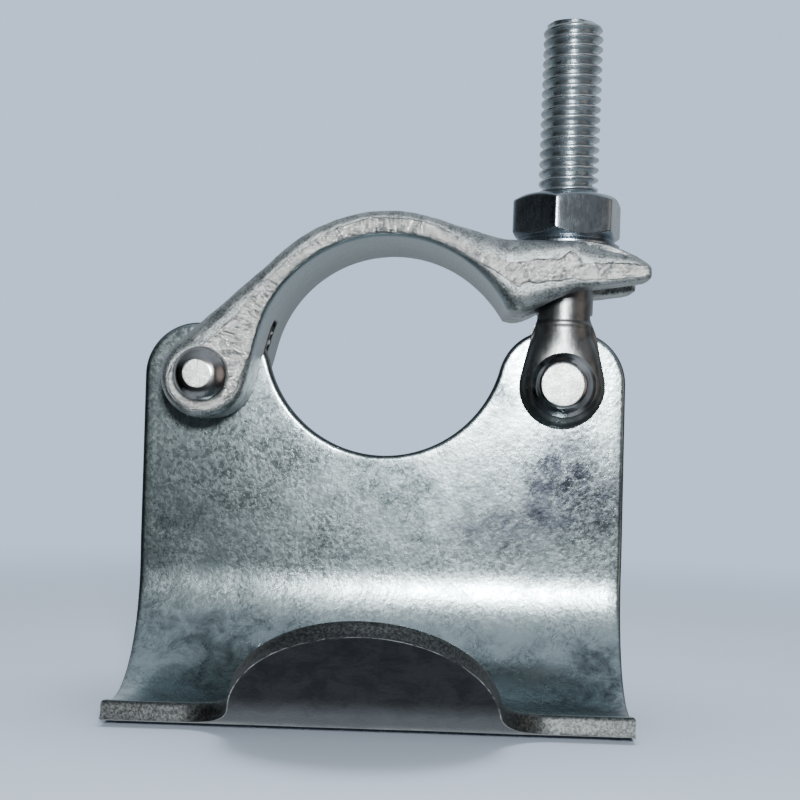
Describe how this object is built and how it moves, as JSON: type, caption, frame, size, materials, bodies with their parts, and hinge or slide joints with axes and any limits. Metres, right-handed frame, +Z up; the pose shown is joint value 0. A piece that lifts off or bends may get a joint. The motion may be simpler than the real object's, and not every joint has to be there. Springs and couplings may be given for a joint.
{
  "type": "scaffold coupler clamp",
  "caption": "Pressed single coupler that holds a scaffold tube across a ledger tube, with a hooked plate, a hinged flap and a swing bolt with a flanged nut.",
  "frame": {"origin": "on the axis of the ledger tube seated in the hook, halfway along the plate", "axes": "+X along the ledger tube, +Z up towards the bolt's free end, the hook opens towards -Y and the upper tube lies along Y"},
  "size_m": [0.1035, 0.0798, 0.1424],
  "materials": {
    "plate_zinc": "bluish zinc plate, mottled",
    "forged_zinc": "zinc plate on a rough forging",
    "rivet_zinc": "smooth zinc plate",
    "bolt_zinc": "bright bluish zinc plate",
    "nut_zinc": "bright bluish zinc plate"
  },
  "bodies": {
    "plate": {"hook_plate": "plate_zinc", "flap_rivet": "rivet_zinc", "bolt_rivet": "rivet_zinc"},
    "flap": {"flap": "forged_zinc"},
    "bolt": {"swing_bolt": "bolt_zinc"},
    "nut": {"flange_nut": "nut_zinc"}
  },
  "joints": [
    {"name": "flap_hinge", "type": "hinge", "parent": "plate", "child": "flap", "pos_m": [-0.0355, 0.0261, 0.0382], "axis": [0, -1, 0], "range_deg": [0, 13]},
    {"name": "bolt_swing", "type": "hinge", "parent": "plate", "child": "bolt", "pos_m": [0.037, 0.0261, 0.0382], "axis": [0, 1, 0], "range_deg": [0, 95]},
    {"name": "nut_travel", "type": "slide", "parent": "bolt", "child": "nut", "axis": [0.0131, 0, 0.9999], "range_m": [0, 0.018]}
  ],
  "couplings": [
    {"joint": "nut_travel", "follows": "flap_hinge", "m_per_rad": 0.0735}
  ]
}
